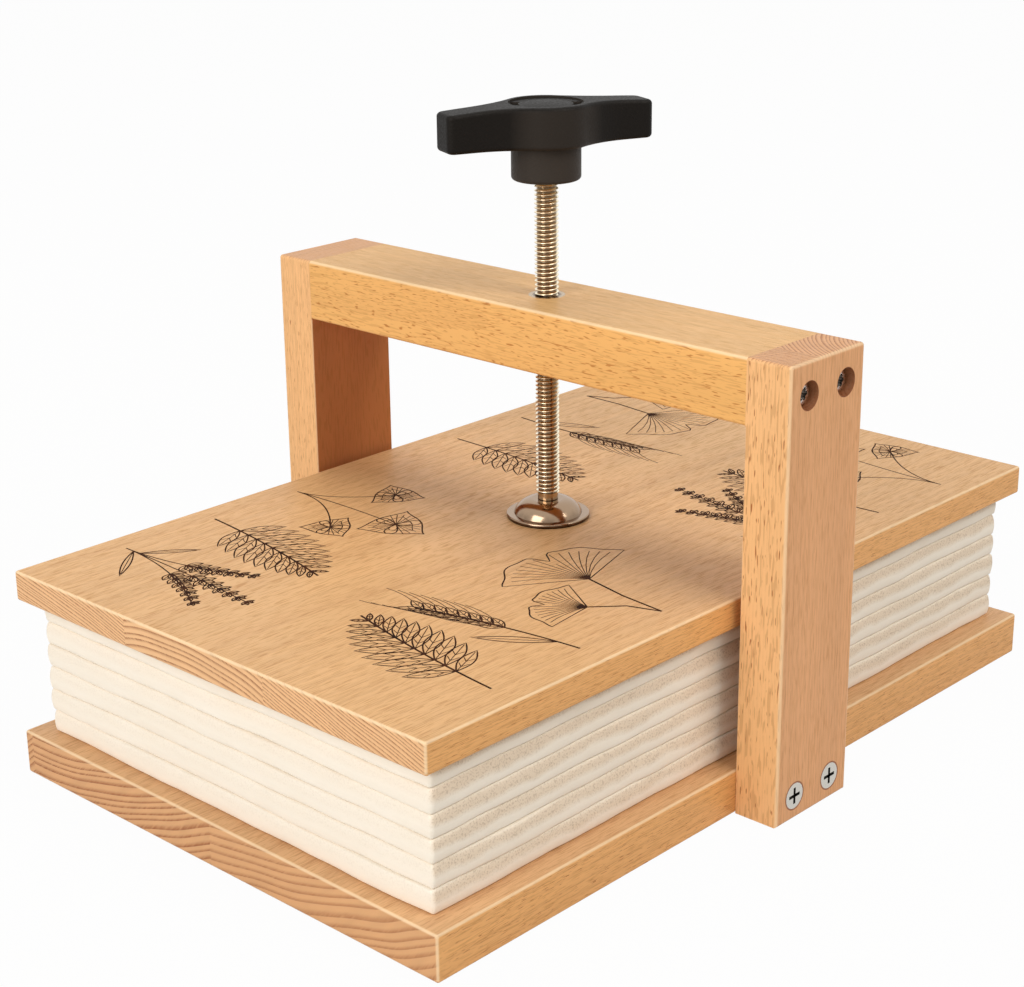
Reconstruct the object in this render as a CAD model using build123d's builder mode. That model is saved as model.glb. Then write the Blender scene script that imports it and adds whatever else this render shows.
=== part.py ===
from build123d import *
from math import ceil
import os

# A flower press: a base board and a pressing board with soft pads between them,
# under a gantry whose screw spindle drives the pressing board down.
# Frame: X along the boards, Y across them from upright to upright, Z up from the
# surface that the base stands on. Origin under the middle of the base. Millimetres.

# Base board, edge-glued from three staves
BASE_LENGTH = 300.0
BASE_WIDTH = 190.0
BASE_THICKNESS = 15.0
BASE_STRIP_WIDTH = 4.0
BASE_MIDDLE_WIDTH = 90.0

# Pressing board, edge-glued from three staves, free between the uprights
BOARD_LENGTH = 300.0
BOARD_SIDE_CLEARANCE = 2.5
BOARD_THICKNESS = 10.0
BOARD_REAR_WIDTH = 56.5
BOARD_MIDDLE_WIDTH = 63.5

# Rounded edges of the wooden pieces, and the eased inner edges of the uprights
BOARD_ARRIS = 0.9
GANTRY_ARRIS = 1.1
EASED_EDGE = 0.5

# Soft drying pads, stacked between the boards with a little air round each
STACK_HEIGHT = 46.5
PAD_COUNT = 6
PAD_LENGTH = 288.5
PAD_WIDTH = 176.0
PAD_AIR = 0.15
PAD_CORNER_RADIUS = 3.2
PAD_RIM_RADIUS = 2.2

# Gantry: two uprights outside the base's long edges and a crossbeam between them
UPRIGHT_WIDTH = 37.0
UPRIGHT_THICKNESS = 16.0
UPRIGHT_HEIGHT = 148.0
BEAM_HEIGHT = 21.0

# Wood screws, two a side at each joint of the gantry
SCREW_SPACING = 18.5
SCREW_FIT = 0.02
BEAM_SCREW_DIAMETER = 4.5
BEAM_SCREW_HEAD_DIAMETER = 8.4
BEAM_SCREW_HEAD_HEIGHT = 2.8
BEAM_SCREW_HEAD_ROUND = 1.7
BEAM_SCREW_LENGTH = 40.0
BEAM_SCREW_SUNK = 2.4
COUNTERBORE_DIAMETER = 9.0
BASE_SCREW_DIAMETER = 4.5
BASE_SCREW_HEAD_DIAMETER = 8.6
BASE_SCREW_HEAD_HEIGHT = 2.6
BASE_SCREW_LENGTH = 40.0
BASE_SCREW_HEIGHT = 8.0
SCREW_TIP_LENGTH = 5.0
SCREW_TIP_DIAMETER = 1.6
RECESS_SPAN = 5.5
RECESS_SLOT = 1.1
RECESS_DEPTH = 1.6
LOBE_COUNT = 6
LOBE_DIAMETER = 1.2
LOBE_CIRCLE_DIAMETER = 3.2

# Screw thread of the spindle, 5/16 inch with 18 threads an inch, right-handed
THREAD_DIAMETER = 7.94
THREAD_PITCH = 25.4 / 18
THREAD_DEPTH = 0.87
THREAD_CLEARANCE = 0.5
SEGMENT_TURNS = 3

# Threaded insert in the crossbeam, its flange let into the underside
INSERT_DIAMETER = 12.0
INSERT_FLANGE_DIAMETER = 22.0
INSERT_FLANGE_THICKNESS = 1.5
INSERT_FIT = 0.02

# Pressure foot, a pressed steel bell with a flat rim
FOOT_DIAMETER = 28.0
FOOT_RIM_THICKNESS = 1.5
FOOT_HEIGHT = 6.2
FOOT_DOME_DIAMETER = 23.0
FOOT_CROWN_DIAMETER = 9.0
FOOT_WALL = 1.3
FOOT_BELL_LEAN = 0.35
FOOT_RIM_ROUND = 0.5

# Spindle tip, which turns in the foot and is held by a retaining ring
NECK_DIAMETER = 6.8
NECK_LENGTH = 2.2
NECK_PLAY = 0.2
PIN_DIAMETER = 5.0
PIN_CLEARANCE = 0.2
RING_OUTER_DIAMETER = 8.0
RING_GROOVE_DIAMETER = 4.0
RING_THICKNESS = 0.8
RING_MOUTH = 2.6
RING_FIT = 0.06
RING_PLAY = 0.06
RING_AXIAL_CLEARANCE = 0.3
PIN_END_LENGTH = 1.0

# Two-winged knob moulded on the top of the spindle
KNOB_STANDOFF = 37.8
KNOB_TURN = -22.5
HUB_DIAMETER = 22.5
HUB_HEIGHT = 11.2
WING_SPAN = 71.5
WING_WIDTH = 12.0
WING_HEIGHT = 13.5
WING_TIP_HEIGHT = 12.1
WING_CORNER_RADIUS = 2.5
BOSS_DIAMETER = 29.0
BOSS_BLEND_RADIUS = 30.0
KNOB_EDGE_ROUND = 1.4
HUB_EDGE_ROUND = 1.2
SHANK_DIAMETER = 6.0
SHANK_LENGTH = 16.0
SHANK_FIT = 0.06
SHANK_END_GAP = 0.4

# Round cap pressed into the knob's top, with two notches beside it to prise it out
CAP_DIAMETER = 17.5
CAP_THICKNESS = 2.4
CAP_CROWN = 0.5
CAP_LIP_DIAMETER = 24.0
CAP_LIP_DEPTH = 0.7
CAP_FIT = 0.02
NOTCH_TURN = -47.0
NOTCH_WIDTH = 7.0
NOTCH_REACH = 2.6
NOTCH_DEPTH = 0.8

# Places that follow from the sizes above
BOARD_WIDTH = BASE_WIDTH - 2 * BOARD_SIDE_CLEARANCE
PAD_THICKNESS = (STACK_HEIGHT - (PAD_COUNT + 1) * PAD_AIR) / PAD_COUNT
BOARD_BOTTOM = BASE_THICKNESS + STACK_HEIGHT
BOARD_TOP = BOARD_BOTTOM + BOARD_THICKNESS
BEAM_BOTTOM = UPRIGHT_HEIGHT - BEAM_HEIGHT
BEAM_SCREW_HEIGHT = UPRIGHT_HEIGHT - BEAM_HEIGHT / 2
UPRIGHT_FACE = BASE_WIDTH / 2 + UPRIGHT_THICKNESS
FOOT_TOP = BOARD_TOP + FOOT_HEIGHT
FOOT_CEILING = FOOT_TOP - FOOT_WALL
RING_TOP = FOOT_CEILING - RING_AXIAL_CLEARANCE
RING_BOTTOM = RING_TOP - RING_THICKNESS
GROOVE_TOP = RING_TOP + RING_PLAY
GROOVE_BOTTOM = RING_BOTTOM - RING_PLAY
NECK_BOTTOM = FOOT_TOP + NECK_PLAY
THREAD_BOTTOM = NECK_BOTTOM + NECK_LENGTH
HUB_BOTTOM = UPRIGHT_HEIGHT + KNOB_STANDOFF
WING_BOTTOM = HUB_BOTTOM + HUB_HEIGHT
KNOB_TOP = WING_BOTTOM + WING_HEIGHT
CAP_FLOOR = KNOB_TOP - CAP_LIP_DEPTH - CAP_THICKNESS + CAP_CROWN
COUNTERBORE_DEPTH = BEAM_SCREW_SUNK + BEAM_SCREW_HEAD_HEIGHT

os.makedirs("parts", exist_ok=True)


def save(piece, name):
    """Label a finished piece and write its file."""
    piece.part.label = name
    export_step(piece.part, f"parts/{name}.step")


def screw_seats(height):
    """Places of one kind of screw on both uprights' outer faces, each pointing outwards."""
    seats = []
    for side in (-1, 1):
        for place in (-SCREW_SPACING / 2, SCREW_SPACING / 2):
            face = Plane(origin=(place, side * UPRIGHT_FACE, height), x_dir=(1, 0, 0), z_dir=(0, side, 0))
            seats.append(face.location)
    return seats


BEAM_SEATS = screw_seats(BEAM_SCREW_HEIGHT)
BASE_SEATS = screw_seats(BASE_SCREW_HEIGHT)
FROM_SEAT = (Align.CENTER, Align.CENTER, Align.MAX)


def screw_body(diameter, length, grow):
    """Shank and tip of a wood screw, downwards from where it stands, larger all round by grow."""
    straight = length - SCREW_TIP_LENGTH
    Cylinder(diameter / 2 + grow, straight, align=FROM_SEAT)
    with Locations((0, 0, -straight)):
        Cone(SCREW_TIP_DIAMETER / 2 + grow, diameter / 2 + grow, SCREW_TIP_LENGTH + grow, align=FROM_SEAT)


def beam_screw_shape(grow=0.0):
    """A screw with a round head, its head's top at BEAM_SCREW_SUNK below the seat."""
    with Locations((0, 0, -BEAM_SCREW_SUNK)):
        Cylinder(BEAM_SCREW_HEAD_DIAMETER / 2, BEAM_SCREW_HEAD_HEIGHT, align=FROM_SEAT)
    with Locations((0, 0, -COUNTERBORE_DEPTH)):
        screw_body(BEAM_SCREW_DIAMETER, BEAM_SCREW_LENGTH, grow)


def base_screw_shape(grow=0.0):
    """A countersunk screw with its head flush with the seat."""
    head_radius = BASE_SCREW_HEAD_DIAMETER / 2 + grow
    Cone(BASE_SCREW_DIAMETER / 2 + grow, head_radius, BASE_SCREW_HEAD_HEIGHT, align=FROM_SEAT)
    with Locations((0, 0, -BASE_SCREW_HEAD_HEIGHT)):
        screw_body(BASE_SCREW_DIAMETER, BASE_SCREW_LENGTH - BASE_SCREW_HEAD_HEIGHT, grow)


with BuildPart() as beam_screw:
    beam_screw_shape()
    head_top = beam_screw.faces().sort_by(Axis.Z)[-1]
    fillet(head_top.edges(), radius=BEAM_SCREW_HEAD_ROUND)
    with BuildSketch(Plane.XY.offset(-BEAM_SCREW_SUNK)):
        Circle(LOBE_CIRCLE_DIAMETER / 2)
        with PolarLocations(LOBE_CIRCLE_DIAMETER / 2, LOBE_COUNT):
            Circle(LOBE_DIAMETER / 2)
    extrude(amount=-RECESS_DEPTH, mode=Mode.SUBTRACT)

with BuildPart() as base_screw:
    base_screw_shape()
    Box(RECESS_SPAN, RECESS_SLOT, RECESS_DEPTH, align=FROM_SEAT, mode=Mode.SUBTRACT)
    Box(RECESS_SLOT, RECESS_SPAN, RECESS_DEPTH, align=FROM_SEAT, mode=Mode.SUBTRACT)

with BuildPart() as beam_screw_hole:
    beam_screw_shape(SCREW_FIT)

with BuildPart() as base_screw_hole:
    base_screw_shape(SCREW_FIT)

with BuildPart() as beam_screws:
    for seat in BEAM_SEATS:
        add(beam_screw.part.moved(seat))
save(beam_screws, "beam_screws")

with BuildPart() as base_screws:
    for seat in BASE_SEATS:
        add(base_screw.part.moved(seat))
save(base_screws, "base_screws")


def glued_board(length, widths, bottom, thickness, width):
    """Boards glued edge to edge, rear first, as one block with rounded outer edges cut into staves."""
    staves = []
    for index, stave_width in enumerate(widths):
        rear_edge = width / 2 - sum(widths[:index])
        middle = rear_edge - stave_width / 2
        with BuildPart() as stave:
            with BuildSketch(Plane.XY.offset(bottom)):
                Rectangle(length, width)
            extrude(amount=thickness)
            fillet(stave.edges(), radius=BOARD_ARRIS)
            with BuildSketch(Plane.XY.offset(bottom)):
                with Locations((0, middle)):
                    Rectangle(length, stave_width)
            extrude(amount=thickness, mode=Mode.INTERSECT)
        staves.append(stave)
    return staves


# Base board: rear strip, middle stave and front stave, drilled for the base screws
BASE_FRONT_WIDTH = BASE_WIDTH - BASE_STRIP_WIDTH - BASE_MIDDLE_WIDTH
BASE_NAMES = ("base_strip_rear", "base_stave_middle", "base_stave_front")
BASE_WIDTHS = (BASE_STRIP_WIDTH, BASE_MIDDLE_WIDTH, BASE_FRONT_WIDTH)
for name, stave in zip(BASE_NAMES, glued_board(BASE_LENGTH, BASE_WIDTHS, 0, BASE_THICKNESS, BASE_WIDTH)):
    with BuildPart() as base_stave:
        add(stave.part)
        for seat in BASE_SEATS:
            add(base_screw_hole.part.moved(seat), mode=Mode.SUBTRACT)
    save(base_stave, name)

# Pressing board: three plain staves
BOARD_FRONT_WIDTH = BOARD_WIDTH - BOARD_REAR_WIDTH - BOARD_MIDDLE_WIDTH
BOARD_NAMES = ("board_stave_rear", "board_stave_middle", "board_stave_front")
BOARD_WIDTHS = (BOARD_REAR_WIDTH, BOARD_MIDDLE_WIDTH, BOARD_FRONT_WIDTH)
BOARD_STAVES = glued_board(BOARD_LENGTH, BOARD_WIDTHS, BOARD_BOTTOM, BOARD_THICKNESS, BOARD_WIDTH)
for name, stave in zip(BOARD_NAMES, BOARD_STAVES):
    save(stave, name)

# Soft pads with a rounded rim, lowest first
for index in range(PAD_COUNT):
    with BuildPart() as pad:
        pad_bottom = BASE_THICKNESS + PAD_AIR + index * (PAD_THICKNESS + PAD_AIR)
        with BuildSketch(Plane.XY.offset(pad_bottom)):
            RectangleRounded(PAD_LENGTH, PAD_WIDTH, PAD_CORNER_RADIUS)
        extrude(amount=PAD_THICKNESS)
        fillet(pad.faces().filter_by(Axis.Z).edges(), radius=PAD_RIM_RADIUS)
    save(pad, f"drying_pad_{index + 1}")

# Uprights, eased below the beam, counterbored at the beam and countersunk at the base
for name, side in (("upright_front", -1), ("upright_rear", 1)):
    with BuildPart() as upright:
        with BuildSketch() as leg:
            with Locations((0, side * (BASE_WIDTH + UPRIGHT_THICKNESS) / 2)):
                Rectangle(UPRIGHT_WIDTH, UPRIGHT_THICKNESS)
            corners = leg.vertices().sort_by(Axis.Y)
            fillet(corners[2:] if side < 0 else corners[:2], radius=EASED_EDGE)
        extrude(amount=BEAM_BOTTOM)
        with BuildSketch(Plane.XY.offset(BEAM_BOTTOM)):
            with Locations((0, side * (BASE_WIDTH + UPRIGHT_THICKNESS) / 2)):
                Rectangle(UPRIGHT_WIDTH, UPRIGHT_THICKNESS)
        extrude(amount=BEAM_HEIGHT)
        outer_face = upright.faces().sort_by(Axis.Y)[0 if side < 0 else -1]
        top_face = upright.faces().sort_by(Axis.Z)[-1]
        fillet(outer_face.edges() + top_face.edges().filter_by(Axis.Y), radius=GANTRY_ARRIS)
        with Locations(*BEAM_SEATS):
            Cylinder(COUNTERBORE_DIAMETER / 2, COUNTERBORE_DEPTH, align=FROM_SEAT, mode=Mode.SUBTRACT)
        for seat in BEAM_SEATS:
            add(beam_screw_hole.part.moved(seat), mode=Mode.SUBTRACT)
        for seat in BASE_SEATS:
            add(base_screw_hole.part.moved(seat), mode=Mode.SUBTRACT)
    save(upright, name)

# Crossbeam, bored for the insert and drilled for the beam screws
with BuildPart() as crossbeam:
    with BuildSketch(Plane.XY.offset(BEAM_BOTTOM)):
        Rectangle(UPRIGHT_WIDTH, BASE_WIDTH)
    extrude(amount=BEAM_HEIGHT)
    fillet(crossbeam.edges().filter_by(Axis.Y), radius=GANTRY_ARRIS)
    with BuildSketch(Plane.XY.offset(BEAM_BOTTOM)):
        Circle(INSERT_DIAMETER / 2 + INSERT_FIT)
    extrude(amount=BEAM_HEIGHT, mode=Mode.SUBTRACT)
    with BuildSketch(Plane.XY.offset(BEAM_BOTTOM)):
        Circle(INSERT_FLANGE_DIAMETER / 2 + INSERT_FIT)
    extrude(amount=INSERT_FLANGE_THICKNESS, mode=Mode.SUBTRACT)
    for seat in BEAM_SEATS:
        add(beam_screw_hole.part.moved(seat), mode=Mode.SUBTRACT)
save(crossbeam, "crossbeam")


def thread(bottom, top, grow=0.0):
    """Right-hand thread between two heights, larger all round by grow, in phase with the spindle.

    A level cut through one thread with rounded crests and roots is a circle that stands off the axis.
    """
    segments = ceil((top - bottom) / (SEGMENT_TURNS * THREAD_PITCH))
    run = (top - bottom) / segments
    for index in range(segments):
        low = bottom + index * run
        turned = 360 * (low - THREAD_BOTTOM) / THREAD_PITCH
        with BuildSketch(Plane.XY.offset(low).rotated((0, 0, turned))) as section:
            with Locations((THREAD_DEPTH / 2, 0)):
                Circle((THREAD_DIAMETER - THREAD_DEPTH) / 2 + grow)
        axis = Edge.make_line((0, 0, low), (0, 0, low + run))
        helix = Edge.make_helix(THREAD_PITCH, run, THREAD_DIAMETER / 2, center=(0, 0, low))
        sweep(section.sketch, path=axis, binormal=helix)


# Threaded insert: a barrel through the beam, a flange below, and the spindle's thread with clearance
with BuildPart() as insert_thread:
    thread(BEAM_BOTTOM - THREAD_PITCH, UPRIGHT_HEIGHT + THREAD_PITCH, THREAD_CLEARANCE)

with BuildPart() as threaded_insert:
    with BuildSketch(Plane.XY.offset(BEAM_BOTTOM)):
        Circle(INSERT_DIAMETER / 2)
    extrude(amount=BEAM_HEIGHT)
    with BuildSketch(Plane.XY.offset(BEAM_BOTTOM)):
        Circle(INSERT_FLANGE_DIAMETER / 2)
    extrude(amount=INSERT_FLANGE_THICKNESS)
    add(insert_thread.part, mode=Mode.SUBTRACT)
save(threaded_insert, "threaded_insert")

# Spindle: shank in the knob, thread, neck, and a grooved pin that turns in the foot
with BuildPart() as spindle:
    thread(THREAD_BOTTOM, HUB_BOTTOM)
    with BuildSketch(Plane.XY.offset(HUB_BOTTOM)):
        Circle(SHANK_DIAMETER / 2)
    extrude(amount=SHANK_LENGTH)
    with BuildSketch(Plane.XY.offset(NECK_BOTTOM)):
        Circle(NECK_DIAMETER / 2)
    extrude(amount=NECK_LENGTH)
    with BuildSketch(Plane.XY.offset(GROOVE_TOP)):
        Circle(PIN_DIAMETER / 2)
    extrude(amount=NECK_BOTTOM - GROOVE_TOP)
    with BuildSketch(Plane.XY.offset(GROOVE_BOTTOM)):
        Circle(RING_GROOVE_DIAMETER / 2)
    extrude(amount=GROOVE_TOP - GROOVE_BOTTOM)
    with BuildSketch(Plane.XY.offset(GROOVE_BOTTOM)):
        Circle(PIN_DIAMETER / 2)
    extrude(amount=-PIN_END_LENGTH)
save(spindle, "spindle")

# Retaining ring, open on one side so that it pushes on across the pin's groove
with BuildPart() as retaining_ring:
    with BuildSketch(Plane.XY.offset(RING_BOTTOM)):
        Circle(RING_OUTER_DIAMETER / 2)
        Circle(RING_GROOVE_DIAMETER / 2 + RING_FIT, mode=Mode.SUBTRACT)
        with Locations((RING_OUTER_DIAMETER / 2, 0)):
            Rectangle(RING_OUTER_DIAMETER, RING_MOUTH, mode=Mode.SUBTRACT)
    extrude(amount=RING_THICKNESS)
save(retaining_ring, "retaining_ring")

# Pressure foot: flat rim and bell, hollow below, with the pin's hole in its crown
RIM_TOP = BOARD_TOP + FOOT_RIM_THICKNESS
with BuildPart() as pressure_foot:
    with BuildSketch(Plane.XZ):
        with BuildLine():
            hole = PIN_DIAMETER / 2 + PIN_CLEARANCE
            crown = FOOT_CROWN_DIAMETER / 2
            dome = FOOT_DOME_DIAMETER / 2
            rim = FOOT_DIAMETER / 2
            outside = Polyline(
                (dome - FOOT_WALL, BOARD_TOP), (rim, BOARD_TOP), (rim, RIM_TOP), (dome, RIM_TOP)
            )
            TangentArc(outside @ 1, (crown, FOOT_TOP), tangent=(-FOOT_BELL_LEAN, 1))
            Polyline((crown, FOOT_TOP), (hole, FOOT_TOP), (hole, FOOT_CEILING), (crown, FOOT_CEILING))
            TangentArc(outside @ 0, (crown, FOOT_CEILING), tangent=(-FOOT_BELL_LEAN, 1))
        make_face()
    revolve(axis=Axis.Z)
    rim_edges = pressure_foot.edges().filter_by(GeomType.CIRCLE).sort_by(SortBy.RADIUS)[-2:]
    fillet(rim_edges, radius=FOOT_RIM_ROUND)
save(pressure_foot, "pressure_foot")

# Knob: hub, boss and two wings, with a blind hole for the shank and a recess for the cap
with BuildPart() as knob:
    with BuildSketch(Plane.XY.offset(WING_BOTTOM).rotated((0, 0, KNOB_TURN))) as wings:
        Rectangle(WING_SPAN, WING_WIDTH)
        fillet(wings.vertices(), radius=WING_CORNER_RADIUS)
        Circle(BOSS_DIAMETER / 2)
        waist = wings.vertices().sort_by_distance((0, 0, 0))[:4]
        fillet(waist, radius=BOSS_BLEND_RADIUS)
    extrude(amount=WING_HEIGHT)
    with BuildSketch(Plane.XZ.rotated((0, 0, KNOB_TURN))):
        with BuildLine():
            left_tip = (-WING_SPAN / 2, WING_BOTTOM + WING_TIP_HEIGHT)
            right_tip = (WING_SPAN / 2, WING_BOTTOM + WING_TIP_HEIGHT)
            ThreePointArc(left_tip, (0, KNOB_TOP), right_tip)
            Polyline(right_tip, (WING_SPAN / 2, WING_BOTTOM), (-WING_SPAN / 2, WING_BOTTOM), left_tip)
        make_face()
    extrude(amount=BOSS_DIAMETER, both=True, mode=Mode.INTERSECT)
    wing_faces = knob.faces().sort_by(Axis.Z)
    fillet(wing_faces[0].edges() + wing_faces[-1].edges(), radius=KNOB_EDGE_ROUND)
    with BuildSketch(Plane.XY.offset(HUB_BOTTOM)):
        Circle(HUB_DIAMETER / 2)
    extrude(amount=HUB_HEIGHT)
    hub_face = knob.faces().sort_by(Axis.Z)[0]
    fillet(hub_face.edges(), radius=HUB_EDGE_ROUND)
    with BuildSketch(Plane.XY.offset(HUB_BOTTOM)):
        Circle(SHANK_DIAMETER / 2 + SHANK_FIT)
    extrude(amount=SHANK_LENGTH + SHANK_END_GAP, mode=Mode.SUBTRACT)
    with BuildSketch(Plane.XY.offset(KNOB_TOP)):
        Circle(CAP_LIP_DIAMETER / 2)
    extrude(amount=-CAP_LIP_DEPTH, mode=Mode.SUBTRACT)
    with BuildSketch(Plane.XY.offset(CAP_FLOOR)):
        Circle(CAP_DIAMETER / 2 + CAP_FIT)
    extrude(amount=KNOB_TOP - CAP_FLOOR, mode=Mode.SUBTRACT)
    with BuildSketch(Plane.XY.offset(KNOB_TOP - CAP_LIP_DEPTH).rotated((0, 0, NOTCH_TURN))):
        Rectangle(CAP_DIAMETER + 2 * NOTCH_REACH, NOTCH_WIDTH)
    extrude(amount=-NOTCH_DEPTH, mode=Mode.SUBTRACT)
save(knob, "knob")

# Cap with a slightly crowned top, level with the recess at its edge
CAP_TOP = CAP_FLOOR + CAP_THICKNESS
CAP_EDGE = CAP_TOP - CAP_CROWN
with BuildPart() as knob_cap:
    with BuildSketch(Plane.XZ):
        with BuildLine():
            cap_radius = CAP_DIAMETER / 2
            Polyline((0, CAP_TOP), (0, CAP_FLOOR), (cap_radius, CAP_FLOOR), (cap_radius, CAP_EDGE))
            TangentArc((0, CAP_TOP), (cap_radius, CAP_EDGE), tangent=(1, 0))
        make_face()
    revolve(axis=Axis.Z)
save(knob_cap, "knob_cap")
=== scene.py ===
"""Dresses a flower press: beech boards and gantry, foam drying pads, steel screw and moulded knob.

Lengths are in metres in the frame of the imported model: X along the boards, Y across them from upright
to upright, Z up. Sizes of patterns and pieces are written in millimetres and turned by MM.
"""

import logging
import math
from dataclasses import dataclass, field
from enum import Enum

import bmesh
import bpy
from mathutils import Euler, Matrix, Vector, noise


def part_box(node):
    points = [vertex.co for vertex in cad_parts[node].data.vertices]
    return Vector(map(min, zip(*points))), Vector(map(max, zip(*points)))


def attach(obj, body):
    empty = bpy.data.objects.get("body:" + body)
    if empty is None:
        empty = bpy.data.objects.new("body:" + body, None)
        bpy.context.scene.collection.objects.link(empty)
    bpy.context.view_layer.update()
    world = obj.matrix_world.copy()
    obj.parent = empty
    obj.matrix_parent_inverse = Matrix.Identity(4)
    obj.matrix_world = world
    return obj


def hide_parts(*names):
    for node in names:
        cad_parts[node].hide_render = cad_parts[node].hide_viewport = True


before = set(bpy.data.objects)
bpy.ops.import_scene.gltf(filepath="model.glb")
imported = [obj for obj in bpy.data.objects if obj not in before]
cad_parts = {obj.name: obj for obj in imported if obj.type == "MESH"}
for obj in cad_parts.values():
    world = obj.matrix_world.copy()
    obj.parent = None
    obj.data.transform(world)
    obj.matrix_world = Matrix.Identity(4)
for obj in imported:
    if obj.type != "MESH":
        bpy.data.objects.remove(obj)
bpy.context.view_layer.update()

MM = 0.001
LOG = logging.getLogger("flower_press")


def linear(colour: str) -> tuple[float, float, float, float]:
    """Turn an sRGB hex colour into the linear colour that a shader takes.

    Args:
        colour: Six hex digits after a hash sign.

    Returns:
        Linear red, green, blue and an alpha of 1.
    """
    shares = [int(colour[at:at + 2], 16) / 255 for at in (1, 3, 5)]
    curve = [c / 12.92 if c <= 0.04045 else ((c + 0.055) / 1.055) ** 2.4 for c in shares]
    return (*curve, 1.0)


def add_node(tree: bpy.types.NodeTree, kind: str, feeds: dict | None = None, **settings) -> bpy.types.Node:
    """Add a node with its settings, socket values and links.

    Args:
        tree: The material's or world's node tree.
        kind: The node's type name without the leading ShaderNode.
        feeds: Socket name or number to a value, or to the output socket that feeds it.
        **settings: Properties of the node itself.

    Returns:
        The new node.
    """
    node = tree.nodes.new("ShaderNode" + kind)
    for name, value in settings.items():
        setattr(node, name, value)
    for socket, feed in (feeds or {}).items():
        if isinstance(feed, bpy.types.NodeSocket):
            tree.links.new(feed, node.inputs[socket])
        else:
            node.inputs[socket].default_value = feed
    return node


def new_material(name: str) -> tuple[bpy.types.Material, bpy.types.NodeTree]:
    """Make an empty node material.

    Args:
        name: The finish's name.

    Returns:
        The material and its node tree.
    """
    material = bpy.data.materials.new(name)
    material.use_nodes = True
    material.node_tree.nodes.clear()
    return material, material.node_tree


def finish_material(tree: bpy.types.NodeTree, sockets: dict) -> None:
    """End a node tree in one principled shader.

    Args:
        tree: The material's node tree.
        sockets: What feeds the shader's sockets.
    """
    shader = add_node(tree, "BsdfPrincipled", sockets)
    add_node(tree, "OutputMaterial", {"Surface": shader.outputs["BSDF"]})


class Grain(Enum):
    """Direction of a piece's fibres, with the turn that lays them along X."""

    ALONG = (0.0, 0.0, 0.0)
    ACROSS = (0.0, 0.0, -math.pi / 2)
    UPWARDS = (0.0, math.pi / 2, 0.0)


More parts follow.
